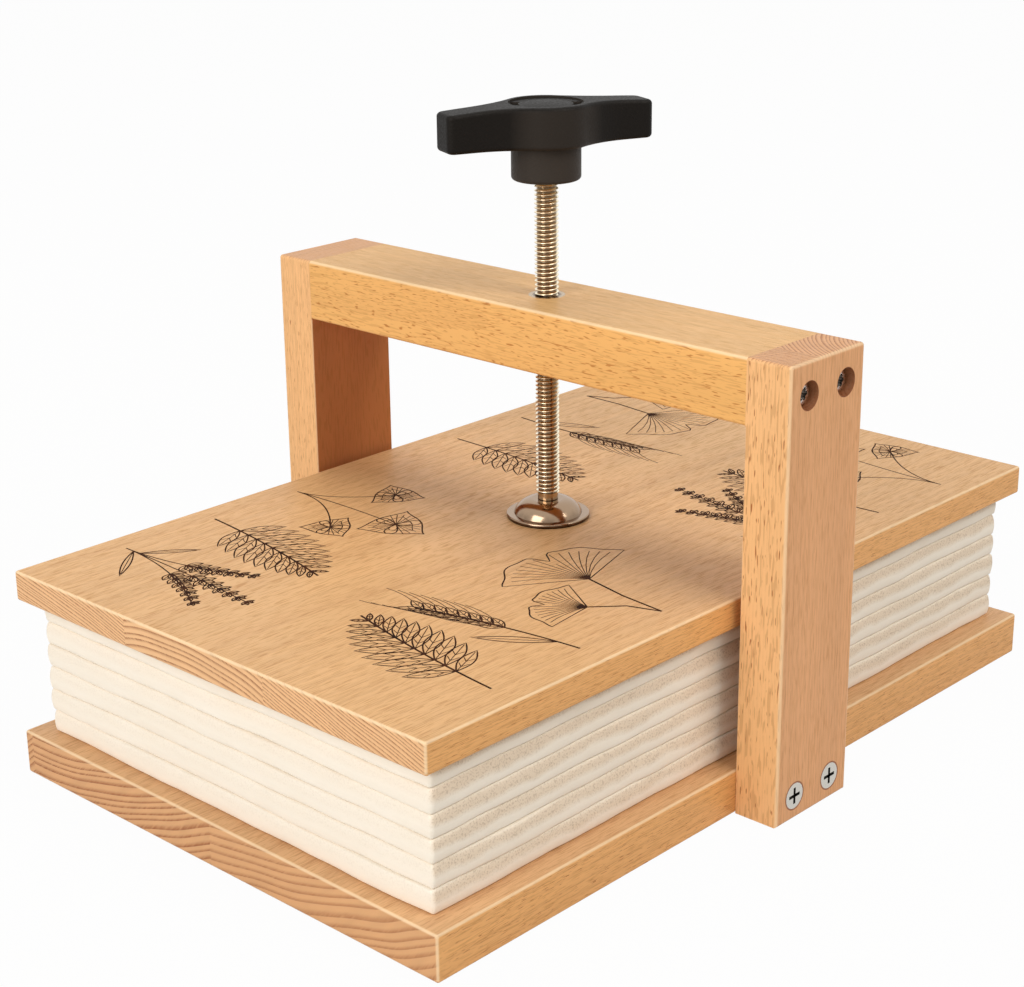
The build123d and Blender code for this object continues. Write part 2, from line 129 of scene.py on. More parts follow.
@dataclass(frozen=True)
class Beech:
    """Steamed beech, sanded and oiled.

    The eye sees an even orange tan, growth rings as thin brown lines on the ends, short dark ray
    flecks on faces cut along the rings and fine pore lines on the rest. Arrises are paler, partly from
    sanding and partly a painted highlight that leaves out the edges facing down, and bores and the rims
    round countersunk heads carry painted shade. Faces, flecks, pores and rings have a value for the
    faces square to X, to Y and to Z, and arrises for the edges along Z, along X and along Y. A size of a
    mark is its length along the fibres, its width round the log and its depth. A socket is the X, Z and
    radius of a bore along Y, round which the painted shade falls.
    """

    name: str
    grain: Grain
    pith: tuple[float, float, float]
    faces: tuple[str, str, str]
    flecks: tuple[float, float, float]
    pores: tuple[float, float, float]
    rings: tuple[float, float, float]
    arrises: tuple[float, float, float] = (1.0, 1.0, 1.0)
    ring_spacing: float = 1.3
    ring_levels: tuple[float, float] = (0.42, 0.97)
    ring_waver: float = 4.0
    ring_break: float = 0.45
    ring_colour: str = "#94501F"
    waver_size: tuple[float, float, float] = (190.0, 40.0, 40.0)
    year_drift: float = 0.30
    ray_size: tuple[float, float, float] = (2.0, 0.35, 3.0)
    ray_levels: tuple[float, float] = (0.62, 0.42)
    fleck_size: tuple[float, float, float] = (3.0, 0.28, 0.7)
    fleck_levels: tuple[float, float] = (0.695, 0.79)
    fleck_colour: str = "#9A521C"
    pore_size: tuple[float, float, float] = (6.0, 0.42, 0.7)
    pore_levels: tuple[float, float] = (0.55, 0.65)
    pore_colour: str = "#A06A34"
    tone_size: tuple[float, float, float] = (150.0, 9.0, 12.0)
    tone_levels: tuple[float, float] = (0.95, 1.05)
    dent_strength: float = 0.35
    dent_depth: float = 0.03
    roughness: tuple[float, float] = (0.42, 0.60)
    # The arris colour is partly sanded wood and partly a painted highlight.
    arris_highlight_colour: str = "#F8DDB4"
    arris_lean: tuple[float, float] = (0.08, 0.45)
    arris_highlight_strength: float = 0.6
    second_pith: tuple[float, float, float] | None = None
    glue_line: float = 0.0
    sockets: tuple[tuple[float, float, float], ...] = ()
    # Painted shade in the bores and round the countersunk heads.
    socket_shade_colour: str = "#8A4E2E"
    socket_share: float = 0.85
    socket_blur: float = 0.12

    def material(self) -> bpy.types.Material:
        """Build the finish.

        Returns:
            The node material.
        """
        material, tree = new_material(self.name)
        coordinates = add_node(tree, "TexCoord")
        place = self._log_place(tree, coordinates.outputs["Object"])
        polar, radius = self._polar_place(tree, place)
        ray = self._dashes(tree, polar, self.ray_size, *self.ray_levels)
        lines = self._ring_lines(tree, radius)
        broken = add_node(tree, "MapRange", {"Value": ray, 3: self.ring_break, 4: 1.0})
        ring = add_node(tree, "Math", {0: lines, 1: broken.outputs[0]}, operation="MULTIPLY").outputs[0]
        fleck = self._dashes(tree, polar, self.fleck_size, *self.fleck_levels)
        pore = self._dashes(tree, polar, self.pore_size, *self.pore_levels)
        facing = coordinates.outputs["Normal"]
        normal = add_node(tree, "VectorMath", {0: facing}, operation="ABSOLUTE").outputs[0]
        squared = add_node(tree, "VectorMath", {0: normal, 1: normal}, operation="MULTIPLY").outputs[0]
        colour = self._plain_colour(tree, squared, polar)
        for mask, strengths, mark in (
            (pore, self.pores, self.pore_colour),
            (fleck, self.flecks, self.fleck_colour),
            (ring, self.rings, self.ring_colour),
        ):
            share = add_node(tree, "VectorMath", {0: squared, 1: strengths}, operation="DOT_PRODUCT")
            factor = add_node(tree, "Math", {0: mask, 1: share.outputs["Value"]}, operation="MULTIPLY")
            marked = {0: factor.outputs[0], 6: colour, 7: linear(mark)}
            colour = add_node(tree, "Mix", marked, data_type="RGBA").outputs[2]
        # Paler arrises: sanded wood and a painted highlight.
        sanded_and_highlit = {0: self._arris_highlight(tree, normal, facing), 6: colour, 7: linear(self.arris_highlight_colour)}
        colour = add_node(tree, "Mix", sanded_and_highlit, data_type="RGBA").outputs[2]
        # Bores and the rims round countersunk heads get painted shade.
        for socket in self.sockets:
            bore_shade = self._socket_shade(tree, coordinates.outputs["Object"], *socket)
            bore_shaded = {0: bore_shade, 6: colour, 7: linear(self.socket_shade_colour)}
            colour = add_node(tree, "Mix", bore_shaded, data_type="RGBA").outputs[2]
        dents = add_node(tree, "Math", {0: pore, 1: fleck}, operation="ADD")
        height = add_node(tree, "Math", {0: 1.0, 1: dents.outputs[0]}, operation="SUBTRACT")
        bump = add_node(tree, "Bump", {
            "Strength": self.dent_strength, "Distance": self.dent_depth * MM, "Height": height.outputs[0],
        })
        plain, dented = self.roughness
        rough = add_node(tree, "MapRange", {"Value": dents.outputs[0], 3: plain, 4: dented})
        finish_material(tree, {
            "Base Color": colour,
            "Roughness": rough.outputs[0],
            "Specular IOR Level": 0.3,
            "Normal": bump.outputs[0],
        })
        return material

    def _log_place(self, tree: bpy.types.NodeTree, place: bpy.types.NodeSocket) -> bpy.types.NodeSocket:
        """Turn a place on the piece into millimetres in its log, with X along the pith.

        Args:
            tree: The material's node tree.
            place: The object coordinates.

        Returns:
            The place in the log, from the second log past the glue line where the piece has one.
        """
        turn = Euler(self.grain.value)
        logs = []
        for pith in (self.pith, self.second_pith):
            if pith:
                centre = turn.to_matrix() @ Vector(pith)
                logs.append(add_node(tree, "Mapping", {
                    "Vector": place, "Location": -centre, "Rotation": turn, "Scale": (1 / MM,) * 3,
                }).outputs[0])
        if len(logs) == 1:
            return logs[0]
        apart = add_node(tree, "SeparateXYZ", {0: place})
        sides = {0: apart.outputs["X"], 1: self.glue_line * MM}
        past = add_node(tree, "Math", sides, operation="GREATER_THAN")
        either = {0: past.outputs[0], 4: logs[0], 5: logs[1]}
        return add_node(tree, "Mix", either, data_type="VECTOR").outputs[1]

    def _polar_place(
        self, tree: bpy.types.NodeTree, place: bpy.types.NodeSocket
    ) -> tuple[bpy.types.NodeSocket, bpy.types.NodeSocket]:
        """Waver a place in the log slowly, and give it as length, girth and radius.

        Args:
            tree: The material's node tree.
            place: Millimetres in the log.

        Returns:
            The polar place as a vector, and its radius.
        """
        slow = add_node(tree, "VectorMath", {0: place, 1: self.waver_size}, operation="DIVIDE")
        drift = add_node(tree, "TexNoise", {"Vector": slow.outputs[0], "Scale": 1.0, "Detail": 1.0})
        half = (0.5, 0.5, 0.5)
        centred = add_node(tree, "VectorMath", {0: drift.outputs["Color"], 1: half}, operation="SUBTRACT")
        sway = (0.0, self.ring_waver, self.ring_waver)
        wavered = add_node(
            tree, "VectorMath", {0: centred.outputs[0], 1: sway, 2: place}, operation="MULTIPLY_ADD"
        ).outputs[0]
        across = add_node(tree, "VectorMath", {0: wavered, 1: (0.0, 1.0, 1.0)}, operation="MULTIPLY")
        radius = add_node(tree, "VectorMath", {0: across.outputs[0]}, operation="LENGTH").outputs["Value"]
        apart = add_node(tree, "SeparateXYZ", {0: wavered})
        turn = add_node(tree, "Math", {0: apart.outputs["Z"], 1: apart.outputs["Y"]}, operation="ARCTAN2")
        girth = add_node(tree, "Math", {0: turn.outputs[0], 1: radius}, operation="MULTIPLY")
        polar = add_node(tree, "CombineXYZ", {0: apart.outputs["X"], 1: girth.outputs[0], 2: radius})
        return polar.outputs[0], radius

    def _ring_lines(self, tree: bpy.types.NodeTree, radius: bpy.types.NodeSocket) -> bpy.types.NodeSocket:
        """Draw growth rings that darken slowly and end sharply, at uneven spacing.

        Args:
            tree: The material's node tree.
            radius: Millimetres from the pith.

        Returns:
            The strength of the dark late wood.
        """
        pace = {0: radius, 1: self.year_drift / self.ring_spacing}
        slow = add_node(tree, "Math", pace, operation="MULTIPLY")
        years = add_node(
            tree, "TexNoise", {"W": slow.outputs[0], "Scale": 1.0, "Detail": 1.0}, noise_dimensions="1D"
        )
        spaced = {0: radius, 1: 1 / self.ring_spacing, 2: years.outputs["Fac"]}
        count = add_node(tree, "Math", spaced, operation="MULTIPLY_ADD")
        share = add_node(tree, "Math", {0: count.outputs[0]}, operation="FRACT")
        start, end = self.ring_levels
        late = {"Value": share.outputs[0], 1: start, 2: end}
        return add_node(tree, "MapRange", late, interpolation_type="SMOOTHSTEP").outputs[0]

    def _dashes(
        self, tree: bpy.types.NodeTree, polar: bpy.types.NodeSocket,
        size: tuple[float, float, float], low: float, high: float,
    ) -> bpy.types.NodeSocket:
        """Scatter short marks along the fibres.

        Args:
            tree: The material's node tree.
            polar: The polar place in the log.
            size: Length, width and depth of a mark, in millimetres.
            low: Noise level at which a mark starts.
            high: Noise level at which it is full.

        Returns:
            The strength of the marks.
        """
        scaled = add_node(tree, "VectorMath", {0: polar, 1: size}, operation="DIVIDE")
        cells = add_node(tree, "TexNoise", {"Vector": scaled.outputs[0], "Scale": 1.0, "Detail": 0.0})
        marks = {"Value": cells.outputs["Fac"], 1: low, 2: high}
        return add_node(tree, "MapRange", marks, interpolation_type="SMOOTHSTEP").outputs[0]

    def _plain_colour(
        self, tree: bpy.types.NodeTree, squared: bpy.types.NodeSocket, polar: bpy.types.NodeSocket
    ) -> bpy.types.NodeSocket:
        """Blend the colours of the cut faces, with slow tone changes along the fibres.

        Args:
            tree: The material's node tree.
            squared: The squared normal, whose parts add up to 1.
            polar: The polar place in the log.

        Returns:
            The colour without marks.
        """
        apart = add_node(tree, "SeparateXYZ", {0: squared})
        colour = (0.0, 0.0, 0.0)
        for axis, face in enumerate(self.faces):
            share = {0: linear(face)[:3], "Scale": apart.outputs[axis]}
            part = add_node(tree, "VectorMath", share, operation="SCALE").outputs[0]
            colour = add_node(tree, "VectorMath", {0: part, 1: colour}, operation="ADD").outputs[0]
        slow = add_node(tree, "VectorMath", {0: polar, 1: self.tone_size}, operation="DIVIDE")
        tone = add_node(tree, "TexNoise", {"Vector": slow.outputs[0], "Scale": 1.0, "Detail": 1.0})
        dark, pale = self.tone_levels
        level = add_node(tree, "MapRange", {
            "Value": tone.outputs["Fac"], 1: 0.25, 2: 0.75, 3: dark, 4: pale,
        }).outputs[0]
        return add_node(tree, "VectorMath", {0: colour, "Scale": level}, operation="SCALE").outputs[0]

    def _arris_highlight(
        self, tree: bpy.types.NodeTree, normal: bpy.types.NodeSocket, facing: bpy.types.NodeSocket
    ) -> bpy.types.NodeSocket:
        """Find the rounded edges, leaning between two faces and not downwards, for sanding and painted
        highlight.

        Args:
            tree: The material's node tree.
            normal: The normal's parts without sign.
            facing: The normal itself.

        Returns:
            How much paler the surface is there, partly sanded wood and partly painted highlight.
        """
        apart = add_node(tree, "SeparateXYZ", {0: normal})
        rolled = add_node(tree, "CombineXYZ", {
            0: apart.outputs["Y"], 1: apart.outputs["Z"], 2: apart.outputs["X"],
        })
        pairs = add_node(tree, "VectorMath", {0: normal, 1: rolled.outputs[0]}, operation="MULTIPLY")
        lean = add_node(tree, "VectorMath", {0: pairs.outputs[0], 1: self.arrises}, operation="DOT_PRODUCT")
        least, full = self.arris_lean
        sanded_and_highlit = add_node(tree, "MapRange", {
            "Value": lean.outputs["Value"], 1: least, 2: full, 4: self.arris_highlight_strength,
        }).outputs[0]
        # The painted highlight is left off edges that face down, where the light does not fall.
        rise = add_node(tree, "SeparateXYZ", {0: facing})
        lit = add_node(tree, "MapRange", {"Value": rise.outputs["Z"], 1: -0.25, 2: -0.05}).outputs[0]
        return add_node(tree, "Math", {0: sanded_and_highlit, 1: lit}, operation="MULTIPLY").outputs[0]

    def _socket_shade(
        self, tree: bpy.types.NodeTree, place: bpy.types.NodeSocket, x: float, z: float, radius: float
    ) -> bpy.types.NodeSocket:
        """Find the wall and the rim of a bore along Y, where painted shade falls.

        Args:
            tree: The material's node tree.
            place: The object coordinates.
            x: The bore's place along X, in millimetres.
            z: Its height.
            radius: How far from its axis the wood is darkened.

        Returns:
            How much painted shade the wood has.
        """
        centred = {0: place, 1: (1 / MM, 0.0, 1 / MM), 2: (-x, 0.0, -z)}
        across = add_node(tree, "VectorMath", centred, operation="MULTIPLY_ADD")
        reach = add_node(tree, "VectorMath", {0: across.outputs[0]}, operation="LENGTH").outputs["Value"]
        return add_node(tree, "MapRange", {
            "Value": reach, 1: radius, 2: radius + self.socket_blur, 3: self.socket_share, 4: 0.0,
        }).outputs[0]


class Bright(Enum):
    """Which way the painted reflection on metal is bright, as the part of the normal that counts."""

    UP = (0.0, 0.0, 1.0)
    OUTWARDS = (0.0, 1.0, 0.0)


@dataclass(frozen=True)
class Metal:
    """Steel, turned or pressed and plated.

    Its colour is a painted reflection: the bright room on what faces up, or outwards on a screw in a
    side, and warm dark reflections on the other parts. Fine tool marks vary it, and painted shade
    darkens the bottom of a thread's groove.
    """

    name: str
    # colour and the dark reflection colour are painted reflections, mixed by the way the normal faces.
    colour: str
    dark_reflection_colour: str
    roughness: float
    mark_size: float
    mark_strength: float
    groove: tuple[float, float] | None = None
    bright: Bright = Bright.UP
    bright_levels: tuple[float, float] = (-0.10, 1.05)
    mark_tint: float = 0.5
    mark_depth: float = 0.02
    rough_shares: tuple[float, float] = (0.75, 1.3)
    groove_shade_colour: str = "#3A2616"
    groove_shade_share: float = 0.7

    def material(self) -> bpy.types.Material:
        """Build the finish.

        Returns:
            The node material.
        """
        material, tree = new_material(self.name)
        coordinates = add_node(tree, "TexCoord")
        marks = add_node(tree, "TexNoise", {
            "Vector": coordinates.outputs["Object"], "Scale": 1 / (self.mark_size * MM), "Detail": 3.0,
        })
        normal = coordinates.outputs["Normal"]
        if self.bright is Bright.OUTWARDS:
            normal = add_node(tree, "VectorMath", {0: normal}, operation="ABSOLUTE").outputs[0]
        rise = add_node(tree, "VectorMath", {0: normal, 1: self.bright.value}, operation="DOT_PRODUCT")
        uneven = {0: marks.outputs["Fac"], 1: self.mark_tint, 2: rise.outputs["Value"]}
        lit = add_node(tree, "Math", uneven, operation="MULTIPLY_ADD")
        dark, light = self.bright_levels
        levels = {"Value": lit.outputs[0], 1: dark, 2: light}
        share = add_node(tree, "MapRange", levels, interpolation_type="SMOOTHSTEP")
        # Painted reflection: bright where the normal faces up or outwards, dark and warm elsewhere.
        shades = {0: share.outputs[0], 6: linear(self.dark_reflection_colour), 7: linear(self.colour)}
        tint = add_node(tree, "Mix", shades, data_type="RGBA").outputs[2]
        # Painted shade darkens the metal towards the groove's inner radius.
        if self.groove:
            tint = self._shade_groove(tree, coordinates.outputs["Object"], tint)
        smooth, rubbed = (part * self.roughness for part in self.rough_shares)
        rough = add_node(tree, "MapRange", {
            "Value": marks.outputs["Fac"], 1: 0.3, 2: 0.7, 3: smooth, 4: rubbed,
        })
        bump = add_node(tree, "Bump", {
            "Strength": self.mark_strength,
            "Distance": self.mark_depth * MM,
            "Height": marks.outputs["Fac"],
        })
        finish_material(tree, {
            "Base Color": tint,
            "Metallic": 1.0,
            "Roughness": rough.outputs[0],
            "Normal": bump.outputs[0],
        })
        return material

    def _shade_groove(
        self, tree: bpy.types.NodeTree, place: bpy.types.NodeSocket, tint: bpy.types.NodeSocket
    ) -> bpy.types.NodeSocket:
        """Darken the bottom of the thread's groove with painted shade.

        Args:
            tree: The material's node tree.
            place: The object coordinates.
            tint: The colour before the groove is darkened.

        Returns:
            The colour with painted shade between the groove's two radii.
        """
        across = add_node(tree, "VectorMath", {0: place, 1: (1 / MM, 1 / MM, 0.0)}, operation="MULTIPLY")
        radius = add_node(tree, "VectorMath", {0: across.outputs[0]}, operation="LENGTH")
        bottom, top = self.groove
        depth = add_node(tree, "MapRange", {
            "Value": radius.outputs["Value"], 1: bottom, 2: top, 3: self.groove_shade_share, 4: 0.0,
        })
        groove_shaded = {0: depth.outputs[0], 6: tint, 7: linear(self.groove_shade_colour)}
        return add_node(tree, "Mix", groove_shaded, data_type="RGBA").outputs[2]


@dataclass(frozen=True)
class MouldedNylon:
    """Glass-filled nylon from an eroded mould.

    The eye sees a near black with a soft broad sheen and a fine leathery grain. A painted highlight
    greys the hub and boss round the axis, but not the faces that look up. The grain is drawn coarser than
    it is, so that it shows.
    """

    name: str = "black_nylon"
    colour: str = "#0A0908"
    worn_colour: str = "#181513"
    # The hub's painted highlight.
    hub_highlight_colour: str = "#423B35"
    highlight_reach: tuple[float, float] = (10.0, 18.0)
    highlight_share: float = 0.75
    highlight_rise: float = 0.6
    grain_size: float = 0.7
    grain_depth: float = 0.12
    grain_strength: float = 0.9
    roughness: tuple[float, float] = (0.44, 0.60)
    shine: float = 0.12
    # The shine's warm tint is a painted reflection of the beech round the knob.
    shine_beech_tint: str = "#FFF2E4"

    def material(self) -> bpy.types.Material:
        """Build the finish.

        Returns:
            The node material.
        """
        material, tree = new_material(self.name)
        coordinates = add_node(tree, "TexCoord")
        grain = add_node(tree, "TexNoise", {
            "Vector": coordinates.outputs["Object"], "Scale": 1 / (self.grain_size * MM), "Detail": 2.0,
        })
        shades = {0: grain.outputs["Fac"], 6: linear(self.colour), 7: linear(self.worn_colour)}
        tint = add_node(tree, "Mix", shades, data_type="RGBA").outputs[2]
        flat = {0: coordinates.outputs["Object"], 1: (1 / MM, 1 / MM, 0.0)}
        across = add_node(tree, "VectorMath", flat, operation="MULTIPLY")
        radius = add_node(tree, "VectorMath", {0: across.outputs[0]}, operation="LENGTH")
        # Painted highlight: a greyer tone round the axis, left off faces that look up.
        facing = add_node(tree, "SeparateXYZ", {0: coordinates.outputs["Normal"]})
        highlight_facing = add_node(tree, "MapRange", {
            "Value": facing.outputs["Z"], 1: 0.0, 2: self.highlight_rise, 3: self.highlight_share, 4: 0.0,
        })
        near, far = self.highlight_reach
        highlight = add_node(tree, "MapRange", {
            "Value": radius.outputs["Value"], 1: near, 2: far, 3: highlight_facing.outputs[0], 4: 0.0,
        })
        highlighted = {0: highlight.outputs[0], 6: tint, 7: linear(self.hub_highlight_colour)}
        tint = add_node(tree, "Mix", highlighted, data_type="RGBA").outputs[2]
        low, high = self.roughness
        rough = add_node(tree, "MapRange", {
            "Value": grain.outputs["Fac"], 1: 0.3, 2: 0.7, 3: low, 4: high,
        })
        bump = add_node(tree, "Bump", {
            "Strength": self.grain_strength,
            "Distance": self.grain_depth * MM,
            "Height": grain.outputs["Fac"],
        })
        finish_material(tree, {
            "Base Color": tint,
            "Roughness": rough.outputs[0],
            "Specular IOR Level": self.shine,
            # Painted reflection: the warm tint stands for the beech that the knob reflects.
            "Specular Tint": linear(self.shine_beech_tint),
            "Normal": bump.outputs[0],
        })
        return material


@dataclass(frozen=True)
class Foam:
    """Soft open-cell foam, cut into sheets.

    The eye sees a warm cream white, smooth on the lower half of each edge. Painted shade from the pad
    above turns the upper part beige, and the open cells show only there as specks, more on the long
    sides than on the ends. Cells are drawn larger than they are, so that they show.
    """

    name: str = "cream_foam"
    colour: str = "#FDF5E7"
    shade_colour: str = "#F7ECDA"
    # The colour of the painted shade on the upper part of each edge.
    band_shade_colour: str = "#E8D5BC"
    cell_colour: str = "#AE9478"
    cell_size: float = 0.55
    cell_levels: tuple[float, float] = (0.50, 0.68)
    cell_share: float = 0.5
    cell_depth: float = 0.25
    cell_strength: float = 0.5
    shade_band_levels: tuple[float, float] = (0.66, 0.92)
    shade_band_waver: float = 0.5
    end_shade_share: float = 0.20
    cloud_size: float = 14.0

    def material(self) -> bpy.types.Material:
        """Build the finish, which reads the height within a pad from the attribute named level.

        Returns:
            The node material.
        """
        material, tree = new_material(self.name)
        coordinates = add_node(tree, "TexCoord")
        level = add_node(tree, "Attribute", attribute_name="level", attribute_type="GEOMETRY")
        cells = add_node(tree, "TexNoise", {
            "Vector": coordinates.outputs["Object"], "Scale": 1 / (self.cell_size * MM), "Detail": 2.0,
        })
        clouds = add_node(tree, "TexNoise", {
            "Vector": coordinates.outputs["Object"], "Scale": 1 / (self.cloud_size * MM), "Detail": 2.0,
        })
        shades = {0: clouds.outputs["Fac"], 6: linear(self.shade_colour), 7: linear(self.colour)}
        tint = add_node(tree, "Mix", shades, data_type="RGBA").outputs[2]
        # Painted shade: the upper part of each edge turns beige and speckled, less on the ends.
        wavered = {0: clouds.outputs["Fac"], 1: self.shade_band_waver, 2: level.outputs["Fac"]}
        ragged = add_node(tree, "Math", wavered, operation="MULTIPLY_ADD")
        facing = add_node(tree, "SeparateXYZ", {0: coordinates.outputs["Normal"]})
        sideways = facing.outputs["Y"]
        side = add_node(tree, "Math", {0: sideways, 1: sideways}, operation="MULTIPLY")
        shade_reach = add_node(tree, "MapRange", {"Value": side.outputs[0], 3: self.end_shade_share, 4: 1.0})
        smooth, rough = self.shade_band_levels
        above = add_node(tree, "MapRange", {
            "Value": ragged.outputs[0], 1: smooth, 2: rough, 4: shade_reach.outputs[0],
        }).outputs[0]
        cut = {0: above, 6: tint, 7: linear(self.band_shade_colour)}
        tint = add_node(tree, "Mix", cut, data_type="RGBA").outputs[2]
        low, high = self.cell_levels
        speck = add_node(tree, "MapRange", {
            "Value": cells.outputs["Fac"], 1: low, 2: high, 4: self.cell_share,
        })
        factor = add_node(tree, "Math", {0: above, 1: speck.outputs[0]}, operation="MULTIPLY")
        speckled = {0: factor.outputs[0], 6: tint, 7: linear(self.cell_colour)}
        tint = add_node(tree, "Mix", speckled, data_type="RGBA").outputs[2]
        bump = add_node(tree, "Bump", {
            "Strength": self.cell_strength,
            "Distance": self.cell_depth * MM,
            "Height": cells.outputs["Fac"],
        })
        finish_material(tree, {
            "Base Color": tint,
            "Roughness": 0.95,
            "Sheen Weight": 0.15,
            "Sheen Roughness": 0.6,
            "Normal": bump.outputs[0],
        })
        return material


@dataclass(frozen=True)
class Scorch:
    """Beech burnt by a fine hot point.

    The eye sees a matt dark brown, paler where the burn was light.
    """

    name: str = "scorched_line"
    colour: str = "#20100A"
    light_colour: str = "#4A2A17"
    patch_size: float = 6.0

    def material(self) -> bpy.types.Material:
        """Build the finish.

        Returns:
            The node material.
        """
        material, tree = new_material(self.name)
        coordinates = add_node(tree, "TexCoord")
        patches = add_node(tree, "TexNoise", {
            "Vector": coordinates.outputs["Object"], "Scale": 1 / (self.patch_size * MM), "Detail": 3.0,
        })
        share = add_node(tree, "MapRange", {"Value": patches.outputs["Fac"], 1: 0.35, 2: 0.7})
        shades = {0: share.outputs[0], 6: linear(self.colour), 7: linear(self.light_colour)}
        tint = add_node(tree, "Mix", shades, data_type="RGBA").outputs[2]
        finish_material(tree, {"Base Color": tint, "Roughness": 0.85, "Specular IOR Level": 0.1})
        return material


def dress(node: str, material: bpy.types.Material) -> None:
    """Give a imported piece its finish.

    Args:
        node: The piece's name.
        material: The finish.
    """
    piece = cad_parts[node]
    if not piece.material_slots:
        piece.data.materials.append(material)
    for slot in piece.material_slots:
        slot.material = material
    LOG.info("dressed %s in %s", node, material.name)


# Colours of beech by how the face is cut, and painted shade on the rear upright's sides
END_GRAIN = "#EBBB89"
BASE_END_GRAIN = "#D9A472"
POST_END_GRAIN = "#D5A172"
BOARD_FACE = "#DCAE79"
BASE_FACE = "#DDAE7D"
BOARD_EDGE = "#EDB16E"
BEAM_FACE = "#F0B76D"
BEAM_TOP = "#E0B175"
POST_FACE = "#F5BF84"
POST_OUTSIDE = "#E6AA76"
# Painted shade: both sides of the rear upright are darker and redder, as in the shade under the beam.
POST_PAINTED_SHADE = "#C07946"


@dataclass
class Boards:
    """The base board and the pressing board, each of three staves glued edge to edge."""

    finishes: dict[str, Beech] = field(default_factory=dict)

    def __post_init__(self) -> None:
        """Choose each stave's place in its log from the rings on its end."""
        base = (BASE_END_GRAIN, BOARD_EDGE, BASE_FACE)
        board = (END_GRAIN, BOARD_EDGE, BOARD_FACE)
        faint = (0.7, 0.15, 0.16)
        marks = {
            "grain": Grain.ALONG,
            "flecks": (0.0, 0.80, 0.22),
            "pores": (0.0, 0.28, 0.36),
        }
        strong = {**marks, "rings": (0.95, 0.15, 0.16)}
        self.finishes = {
            "base_strip_rear": Beech(
                "beech_base_strip", pith=(0, 40, -60), faces=base, ring_spacing=2.0, **strong
            ),
            "base_stave_middle": Beech(
                "beech_base_middle", pith=(0, 97, 203), faces=base, ring_spacing=2.3, **strong
            ),
            "base_stave_front": Beech(
                "beech_base_front", pith=(0, 39, 300), faces=base, ring_spacing=2.8, ring_waver=7.2,
                rings=faint, **marks
            ),
            "board_stave_rear": Beech(
                "beech_board_rear", pith=(0, 126, -210), faces=board, ring_spacing=1.05, **strong
            ),
            "board_stave_middle": Beech(
                "beech_board_middle", pith=(0, 9, -46), faces=board, ring_spacing=1.9, **strong
            ),
            "board_stave_front": Beech(
                "beech_board_front", pith=(0, 125, -553), faces=board, ring_spacing=1.15, **strong
            ),
        }

    def dress(self) -> None:
        """Give the staves their finishes."""
        for node, finish in self.finishes.items():
            dress(node, finish.material())


@dataclass
class Gantry:
    """The two uprights, the crossbeam, their screws and the threaded insert."""

    glue_line: float = -4.0
    screw_spacing: float = 18.5
    bore: tuple[float, float] = (137.5, 4.55)
    countersink: tuple[float, float] = (8.0, 4.75)

    def dress(self) -> None:
        """Give the wood its beech and the fittings their metal."""
        # The bores and countersinks get painted shade in the uprights' beech.
        holes = (self.bore, self.countersink)
        post = {
            "grain": Grain.UPWARDS,
            "arrises": (1.0, 1.0, 0.0),
            "arris_highlight_strength": 0.45,
            "sockets": tuple((side * self.screw_spacing / 2, *hole) for side in (-1, 1) for hole in holes),
        }
        front = Beech(
            "beech_upright_front", pith=(-72, -238, 0), second_pith=(32, -126, 0), glue_line=self.glue_line,
            faces=(POST_FACE, POST_OUTSIDE, POST_END_GRAIN), flecks=(0.85, 0.10, 0.0),
            pores=(0.30, 0.25, 0.0), rings=(0.10, 0.15, 1.0), fleck_size=(3.6, 0.20, 0.42),
            ring_spacing=1.25, **post,
        )
        # The rear upright's sides carry painted shade.
        rear = Beech(
            "beech_upright_rear", pith=(0, 260, 0), faces=(POST_FACE, POST_PAINTED_SHADE, POST_END_GRAIN),
            flecks=(0.75, 0.08, 0.0), pores=(0.30, 0.30, 0.0), rings=(0.10, 0.10, 0.6),
            fleck_size=(3.6, 0.80, 50.0), ring_spacing=1.5, **post,
        )
        beam = Beech(
            "beech_crossbeam", Grain.ACROSS, pith=(-170, 0, 137), faces=(BEAM_FACE, END_GRAIN, BEAM_TOP),
            arrises=(0.0, 0.0, 1.0), flecks=(0.70, 0.0, 0.10), pores=(0.20, 0.0, 0.40),
            rings=(0.12, 0.6, 0.10), fleck_size=(2.8, 0.40, 0.9), fleck_levels=(0.63, 0.80),
            fleck_colour="#AE621E",
        )
        dress("upright_front", front.material())
        dress("upright_rear", rear.material())
        dress("crossbeam", beam.material())
        dark = Metal("dark_plated_steel", "#EAE6E0", "#3A322B", 0.18, 1.5, 0.2, bright=Bright.OUTWARDS)
        zinc = Metal("zinc_plated_steel", "#C8C4BB", "#2A241F", 0.28, 1.0, 0.25, bright=Bright.OUTWARDS)
        insert = Metal("bright_insert_steel", "#BCA586", "#4E3C2C", 0.25, 1.0, 0.2, groove=(4.3, 5.0))
        dress("beam_screws", dark.material())
        dress("base_screws", zinc.material())
        dress("threaded_insert", insert.material())


@dataclass
class ScrewDrive:
    """The spindle with its knob, and the pressure foot that it turns in."""

    groove: tuple[float, float] = (3.12, 3.6)

    def dress(self) -> None:
        """Give the metal its polish and the knob its moulded grain."""
        thread = Metal("nickel_plated_steel", "#FFF2D4", "#BC9C76", 0.16, 0.9, 0.25, groove=self.groove)
        dress("spindle", thread.material())
        dress("pressure_foot", Metal("polished_steel", "#A98F76", "#301E13", 0.16, 2.5, 0.12).material())
        dress("retaining_ring", Metal("spring_steel", "#8C8780", "#6A645D", 0.30, 1.0, 0.2).material())
        nylon = MouldedNylon().material()
        dress("knob", nylon)
        dress("knob_cap", nylon)


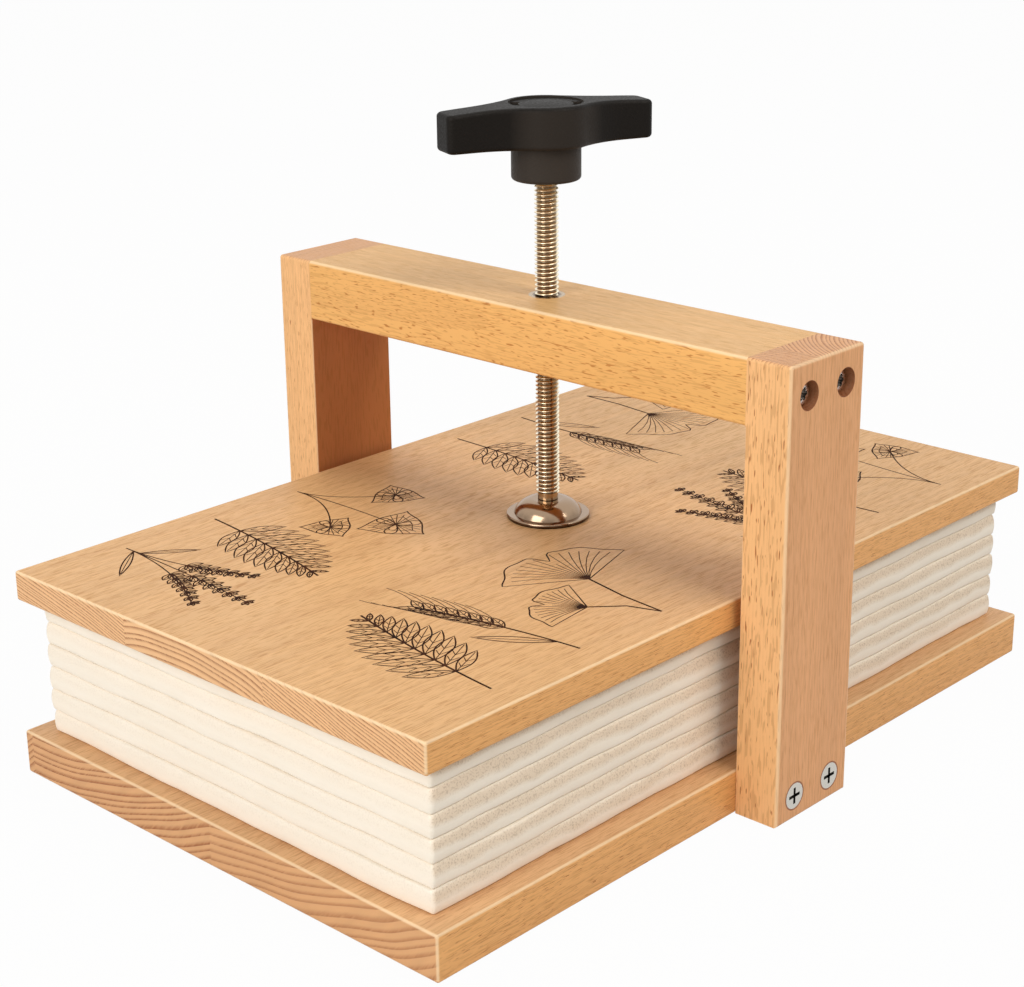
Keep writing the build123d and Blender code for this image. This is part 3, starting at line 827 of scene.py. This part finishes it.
@dataclass
class PadStack:
    """Six soft drying pads with full, slightly uneven edges."""

    count: int = 6
    corner: float = 1.8
    rim: float = 0.6
    mesh_step: tuple[float, float, float] = (4.0, 4.0, 1.2)
    edge_wave: float = 0.9
    slow_wave: float = 45.0
    quick_wave: float = 11.0
    bulge: float = 0.7
    seam_wave: float = 0.35
    seam_length: float = 24.0
    fill: float = 0.8

    def build(self) -> None:
        """Model the pads over their solids."""
        foam = Foam().material()
        for index in range(1, self.count + 1):
            node = f"drying_pad_{index}"
            pad = self._pad(node, index, foam)
            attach(pad, f"pad_{index}")
            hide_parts(node)
            LOG.info("modelled %s", pad.name)

    def _pad(self, node: str, index: int, foam: bpy.types.Material) -> bpy.types.Object:
        """Model one pad in the space of its solid.

        Args:
            node: The solid's name.
            index: The pad's number from below, which seeds its unevenness.
            foam: The pad's finish.

        Returns:
            The pad.
        """
        low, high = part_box(node)
        size = high - low
        shape = bmesh.new()
        bmesh.ops.create_cube(shape, size=1.0)
        bmesh.ops.scale(shape, vec=size, verts=shape.verts)
        upright = [e for e in shape.edges if abs(e.verts[0].co.z - e.verts[1].co.z) > size.z / 2]
        self._round(shape, upright, self.corner * MM, 5)
        outline = [e for e in shape.edges if abs(e.verts[0].co.z - e.verts[1].co.z) < size.z / 2]
        self._round(shape, outline, self.rim * MM, 3)
        for axis, mesh_step in zip(Matrix.Identity(3), self.mesh_step):
            steps = round(size.dot(axis) / (mesh_step * MM))
            for step in range(1, steps):
                cut = axis * (step / steps - 0.5) * size.dot(axis)
                everything = [*shape.verts, *shape.edges, *shape.faces]
                bmesh.ops.bisect_plane(shape, geom=everything, plane_co=cut, plane_no=axis)
        level = shape.verts.layers.float.new("level")
        for vertex in shape.verts:
            vertex[level] = vertex.co.z / size.z + 0.5
            vertex.co += self._unevenness(vertex.co, size, index)
        bmesh.ops.translate(shape, vec=(low + high) / 2, verts=shape.verts)
        for face in shape.faces:
            face.smooth = True
        mesh = bpy.data.meshes.new(f"foam_pad_{index}")
        shape.to_mesh(mesh)
        shape.free()
        mesh.materials.append(foam)
        pad = bpy.data.objects.new(mesh.name, mesh)
        bpy.context.scene.collection.objects.link(pad)
        return pad

    @staticmethod
    def _round(shape: bmesh.types.BMesh, edges: list, radius: float, segments: int) -> None:
        """Round edges off.

        Args:
            shape: The mesh.
            edges: Its edges to round.
            radius: The rounding's radius.
            segments: Steps across the rounding.
        """
        bmesh.ops.bevel(
            shape, geom=edges, offset=radius, offset_type="OFFSET", segments=segments, profile=0.5,
            affect="EDGES", material=-1,
        )

    def _unevenness(self, place: Vector, size: Vector, index: int) -> Vector:
        """Push the edge in and out, draw it in at its seams, and let the seams waver.

        Args:
            place: A point of the pad about its middle.
            size: The pad's size.
            index: The pad's number.

        Returns:
            How the point moves.
        """
        seed = Vector((17.0 * index, 31.0 * index, 0.0))
        slow = noise.noise(place / (self.slow_wave * MM) + seed)
        quick = noise.noise(place / (self.quick_wave * MM) + seed)
        half = size / 2
        outward = Vector((0.0, 0.0, 0.0))
        for axis in (0, 1):
            reach = abs(place[axis]) - half[axis] + self.corner * MM
            outward[axis] = math.copysign(max(reach, 0.0), place[axis])
        rise = place.z / size.z
        drawn = self.bulge * (2 * rise) ** 2
        push = outward.normalized() * ((slow + 0.4 * quick - 0.3) * self.edge_wave - drawn) * MM
        below, above = (self._seam(place, seam) for seam in (index - 1, index))
        push.z = (below * (0.5 - rise) + above * (0.5 + rise)) * MM
        return push

    def _seam(self, place: Vector, seam: int) -> float:
        """Give the height by which the seam between two pads wavers, none at the boards.

        Args:
            place: A point of a pad about its middle.
            seam: The seam's number, 0 on the base board.

        Returns:
            The height in millimetres.
        """
        if seam in (0, self.count):
            return 0.0
        flat = Vector((place.x, place.y, 0.0)) / (self.seam_length * MM)
        return self.seam_wave * noise.noise(flat + Vector((0.0, 0.0, 7.3 * seam)))


@dataclass
class Stroke:
    """One burnt line, as points in millimetres with the width of the line."""

    points: list[Vector]
    width: float


@dataclass
class BurntSpecimens:
    """Rows of plain plant specimens burnt into the pressing board, growing in from its long edges."""

    hair: float = 0.32
    line: float = 0.52
    stem: float = 0.80
    proud: float = 0.05
    columns: tuple[float, ...] = (-114.0, -77.0, -40.0, 40.0, 75.5, 114.0)
    root: float = 82.0
    strokes: list[Stroke] = field(default_factory=list)

    def build(self) -> None:
        """Burn both rows and lay them on the board."""
        kinds = (self.fern, self.wheat, self.ginkgo, self.lavender, self.fern, self.clover)
        for column, x in enumerate(self.columns):
            for row, side in enumerate((-1, 1)):
                specimen = kinds[(column + 3 * row) % len(kinds)]()
                lean = math.radians(-6 + 5 * ((2 * column + row) % 3))
                turn = lean if side < 0 else math.pi + lean
                self._place(specimen, Vector((x, side * self.root)), turn)
        self._burn()

    def fern(self) -> list[Stroke]:
        """Draw a fern frond of paired slim leaflets.

        Returns:
            Its strokes, rooted at the origin and growing along Y.
        """
        height, bend, pairs = 66.0, 5.0, 10
        strokes = [Stroke([self._bow(height, bend, step / 16) for step in range(17)], self.stem)]
        for pair in range(pairs):
            share = (pair + 1.5) / (pairs + 1.5)
            root = self._bow(height, bend, 0.12 + 0.88 * share)
            reach = 16.5 * math.sin(math.pi * (0.22 + 0.76 * share)) + 1.5
            for side in (-1, 1):
                strokes += self._leaf(root, side * math.radians(66 - 28 * share), reach, 0.30 * reach, 2)
        return strokes

    def wheat(self) -> list[Stroke]:
        """Draw an ear of wheat with paired grains and long beards.

        Returns:
            Its strokes.
        """
        height, bend, rows, grain, beard = 56.0, -6.0, 8, 8.5, 13.0
        strokes = [Stroke([self._bow(height, bend, step / 16) for step in range(17)], self.stem)]
        for row in range(rows):
            root = self._bow(height, bend, 0.48 + 0.5 * row / (rows - 1))
            for side in (-1, 1):
                angle = side * math.radians(24)
                strokes += self._leaf(root, angle, grain, 3.2, 2)
                tip = root + self._ray(angle, grain)
                hair = [tip + self._ray(angle * (1 - 0.5 * s / 4), beard * s / 4) for s in range(5)]
                strokes.append(Stroke(hair, self.hair))
        strokes += self._leaf(self._bow(height, bend, 0.14), math.radians(-30), 26.0, 4.0, 0)
        return strokes

    def ginkgo(self) -> list[Stroke]:
        """Draw two fan leaves with veins that spread from their stalks.

        Returns:
            Its strokes.
        """
        strokes = []
        for angle, radius in ((8.0, 27.0), (-34.0, 18.0)):
            lean = math.radians(angle)
            base = self._ray(lean, 1.25 * radius)
            middle = self._ray(lean * 0.6, 0.62 * radius)
            strokes.append(Stroke([Vector((0.0, 0.0)), middle, base], self.stem))
            rim = [base]
            for step in range(41):
                spread = math.radians(-64 + 128 * step / 40)
                notch = 1 - 0.30 * math.exp(-((spread / 0.10) ** 2)) + 0.025 * math.cos(11 * spread)
                rim.append(base + self._ray(lean + spread, radius * notch))
            strokes.append(Stroke([*rim, base], self.line))
            for vein in range(15):
                spread = math.radians(-56 + 112 * vein / 14)
                reach = radius * (0.90 if vein != 7 else 0.6)
                points = []
                for step in range(5):
                    share = step / 4
                    points.append(base + self._ray(lean + spread * (0.75 + 0.25 * share), reach * share))
                strokes.append(Stroke(points, self.hair))
        return strokes

    def lavender(self) -> list[Stroke]:
        """Draw three lavender spikes with whorls of small buds.

        Returns:
            Its strokes.
        """
        strokes = []
        for height, bend in ((66.0, 3.0), (54.0, 15.0), (50.0, -13.0)):
            strokes.append(Stroke([self._bow(height, bend, step / 14) for step in range(15)], self.line))
            for whorl in range(7):
                root = self._bow(height, bend, 0.54 + 0.44 * whorl / 6)
                size = 5.4 - 0.45 * whorl
                for spread in (-62, -24, 24, 62):
                    strokes += self._leaf(root, math.radians(spread), size, 0.46 * size, 0)
        strokes += self._leaf(Vector((0.0, 4.0)), math.radians(48), 22.0, 2.6, 0)
        strokes += self._leaf(Vector((0.0, 7.0)), math.radians(-52), 20.0, 2.6, 0)
        return strokes

    def clover(self) -> list[Stroke]:
        """Draw three clover leaves, each of three hearts with a pale crescent.

        Returns:
            Its strokes.
        """
        strokes = []
        for height, bend, size in ((50.0, 4.0, 13.0), (34.0, 19.0, 10.0), (30.0, -18.0, 10.5)):
            strokes.append(Stroke([self._bow(height, bend, step / 14) for step in range(15)], self.line))
            top = self._bow(height, bend, 1.0)
            for angle in (0.0, 120.0, -120.0):
                lean = math.radians(angle + 1.2 * bend)
                for shrink in (1.0, 0.62):
                    heart = []
                    for step in range(25):
                        turn = 2 * math.pi * step / 24
                        wide = 0.60 * size * shrink * math.sin(turn) ** 3
                        dip = 0.14 - 0.14 * math.cos(2 * turn)
                        tall = size * shrink * (0.52 - 0.52 * math.cos(turn) - dip)
                        heart.append(top + self._ray(lean, tall) + self._ray(lean + math.pi / 2, wide))
                    strokes.append(Stroke(heart, self.line if shrink == 1.0 else self.hair))
                for spread in (-0.5, -0.25, 0.0, 0.25, 0.5):
                    strokes.append(Stroke([top, top + self._ray(lean + spread, 0.74 * size)], self.hair))
        return strokes

    @staticmethod
    def _ray(angle: float, length: float) -> Vector:
        """Give the step of a length at an angle from Y towards X."""
        return Vector((math.sin(angle), math.cos(angle))) * length

    @staticmethod
    def _bow(height: float, bend: float, share: float) -> Vector:
        """Give a point on a stem that leaves the root straight and bends over by its top."""
        return Vector((bend * share * share, height * share))

    def _leaf(self, root: Vector, angle: float, length: float, width: float, veins: int) -> list[Stroke]:
        """Draw a pointed leaf with a midrib and side veins.

        Args:
            root: Where the leaf leaves its stem.
            angle: The leaf's direction, from Y towards X.
            length: Its length.
            width: Its greatest width.
            veins: Side veins on each half.

        Returns:
            The leaf's strokes.
        """
        along, aside = self._ray(angle, 1.0), self._ray(angle + math.pi / 2, 1.0)
        edge = []
        for step in range(19):
            share = step / 18
            wide = 0.5 * width * math.sin(2 * math.pi * share)
            edge.append(root + along * length * (1 - abs(1 - 2 * share)) + aside * wide)
        strokes = [Stroke(edge, self.line), Stroke([root, root + along * 0.92 * length], self.hair)]
        for vein in range(veins):
            start = 0.22 + 0.5 * vein / veins
            for side in (-1, 1):
                tip = root + along * length * (start + 0.16) + aside * side * 0.36 * width
                strokes.append(Stroke([root + along * length * start, tip], self.hair))
        return strokes

    def _place(self, specimen: list[Stroke], root: Vector, turn: float) -> None:
        """Turn a specimen and stand it at its root.

        Args:
            specimen: Its strokes.
            root: The root's place on the board.
            turn: The turn, in radians.
        """
        spin = Matrix.Rotation(turn, 2)
        for stroke in specimen:
            self.strokes.append(Stroke([root + spin @ point for point in stroke.points], stroke.width))

    def _burn(self) -> None:
        """Lay the strokes on the board as thin closed ridges."""
        curve = bpy.data.curves.new("burnt_lines", "CURVE")
        curve.dimensions = "3D"
        curve.bevel_depth = 0.5 * MM
        curve.bevel_resolution = 0
        curve.use_fill_caps = True
        for stroke in self.strokes:
            spline = curve.splines.new("POLY")
            spline.points.add(len(stroke.points) - 1)
            for knot, point in zip(spline.points, stroke.points):
                knot.co = (point.x * MM, point.y * MM, 0.0, 1.0)
                knot.radius = stroke.width
        drawing = bpy.data.objects.new("burnt_lines_curve", curve)
        bpy.context.scene.collection.objects.link(drawing)
        mesh = bpy.data.meshes.new_from_object(drawing)
        bpy.data.objects.remove(drawing)
        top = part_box("board_stave_middle")[1].z
        flat = Matrix.Diagonal((1, 1, 2 * self.proud / self.stem, 1))
        mesh.transform(Matrix.Translation((0, 0, top)) @ flat)
        mesh.materials.clear()
        mesh.materials.append(Scorch().material())
        mesh.name = "burnt_specimens"
        lines = bpy.data.objects.new(mesh.name, mesh)
        bpy.context.scene.collection.objects.link(lines)
        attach(lines, "press_board")
        LOG.info("burnt %d strokes", len(self.strokes))


@dataclass
class Lamp:
    """A square soft box that points at the press."""

    name: str
    azimuth: float
    elevation: float
    distance: float
    size: float
    share: float

    def build(self, target: Vector) -> None:
        """Hang the lamp.

        Args:
            target: What it points at.
        """
        data = bpy.data.lights.new(self.name, "AREA")
        data.shape = "SQUARE"
        data.size = self.size
        data.energy = self.share * math.pi * math.pi * self.distance ** 2
        lamp = bpy.data.objects.new(self.name, data)
        turn, rise = math.radians(self.azimuth), math.radians(self.elevation)
        away = Vector((math.sin(turn) * math.cos(rise), -math.cos(turn) * math.cos(rise), math.sin(rise)))
        lamp.location = target + away * self.distance
        lamp.rotation_euler = away.to_track_quat("Z", "Y").to_euler()
        bpy.context.scene.collection.objects.link(lamp)


@dataclass
class Studio:
    """A white floor, soft boxes and the camera at the photograph's place."""

    floor_size: float = 14.0
    floor_colour: str = "#C8C4BE"
    floor_white: float = 0.97
    world_colour: str = "#FFFFFF"
    world_share: float = 0.34
    eye: tuple[float, float, float] = (-493.4, -447.4, 313.5)
    azimuth: float = -46.76
    elevation: float = 19.37
    roll: float = -0.65
    lens: float = 73.79
    sensor: float = 36.0
    target: tuple[float, float, float] = (0.0, 0.0, 80.0)
    lamps: tuple[Lamp, ...] = (
        Lamp("key_lamp", azimuth=-88.0, elevation=30.0, distance=2.2, size=1.3, share=0.50),
        Lamp("low_lamp", azimuth=-92.0, elevation=6.0, distance=2.2, size=0.55, share=0.12),
        Lamp("side_lamp", azimuth=8.0, elevation=48.0, distance=2.4, size=1.2, share=0.46),
        Lamp("top_lamp", azimuth=150.0, elevation=72.0, distance=2.4, size=1.4, share=0.22),
    )

    def build(self) -> None:
        """Set the floor, the light and the camera."""
        self._floor()
        self._world()
        for lamp in self.lamps:
            lamp.build(Vector(self.target) * MM)
        self._camera()
        bpy.context.scene.view_settings.view_transform = "Standard"

    @staticmethod
    def _seen(tree: bpy.types.NodeTree) -> bpy.types.NodeSocket:
        """Tell what the camera sees, straight, mirrored or through glass, from what only lights.

        Args:
            tree: The node tree of the floor or the world.

        Returns:
            1 for what is seen.
        """
        path = add_node(tree, "LightPath")
        seen = path.outputs["Is Camera Ray"]
        for name in ("Is Glossy Ray", "Is Transmission Ray"):
            seen = add_node(tree, "Math", {0: seen, 1: path.outputs[name]}, operation="MAXIMUM").outputs[0]
        return seen

    def _floor(self) -> None:
        """Lay the floor, white to the eye with a faint shadow."""
        shape = bmesh.new()
        bmesh.ops.create_grid(shape, x_segments=1, y_segments=1, size=self.floor_size / 2)
        mesh = bpy.data.meshes.new("floor")
        shape.to_mesh(mesh)
        shape.free()
        material, tree = new_material("white_floor")
        matt = add_node(tree, "BsdfDiffuse", {"Color": linear(self.floor_colour)})
        white = add_node(tree, "Emission", {"Color": linear("#FFFFFF"), "Strength": 1.0})
        share = add_node(tree, "Math", {0: self._seen(tree), 1: self.floor_white}, operation="MULTIPLY")
        mixed = add_node(tree, "MixShader", {0: share.outputs[0], 1: matt.outputs[0], 2: white.outputs[0]})
        add_node(tree, "OutputMaterial", {"Surface": mixed.outputs[0]})
        mesh.materials.append(material)
        floor = bpy.data.objects.new(mesh.name, mesh)
        bpy.context.scene.collection.objects.link(floor)

    def _world(self) -> None:
        """Light the room evenly, and show it white."""
        world = bpy.data.worlds.new("studio")
        world.use_nodes = True
        tree = world.node_tree
        tree.nodes.clear()
        even = {"Color": linear(self.world_colour), "Strength": self.world_share}
        light = add_node(tree, "Background", even)
        white = add_node(tree, "Background", {"Color": linear("#FFFFFF"), "Strength": 1.0})
        mixed = add_node(tree, "MixShader", {0: self._seen(tree), 1: light.outputs[0], 2: white.outputs[0]})
        add_node(tree, "OutputWorld", {"Surface": mixed.outputs[0]})
        bpy.context.scene.world = world

    def _camera(self) -> None:
        """Stand the camera where the photograph was taken from."""
        data = bpy.data.cameras.new("camera")
        data.lens = self.lens
        data.sensor_width = self.sensor
        data.sensor_fit = "HORIZONTAL"
        data.clip_start = 10 * MM
        camera = bpy.data.objects.new(data.name, data)
        camera.location = Vector(self.eye) * MM
        level = Euler((math.radians(90 - self.elevation), 0.0, math.radians(self.azimuth))).to_matrix()
        camera.rotation_euler = (level @ Matrix.Rotation(math.radians(self.roll), 3, "Z")).to_euler()
        bpy.context.scene.collection.objects.link(camera)
        bpy.context.scene.camera = camera


def main() -> None:
    """Dress the press, then light it and place the camera."""
    logging.basicConfig(level=logging.INFO, format="%(name)s: %(message)s")
    Boards().dress()
    Gantry().dress()
    ScrewDrive().dress()
    PadStack().build()
    BurntSpecimens().build()
    Studio().build()


if __name__ == "__main__":
    main()
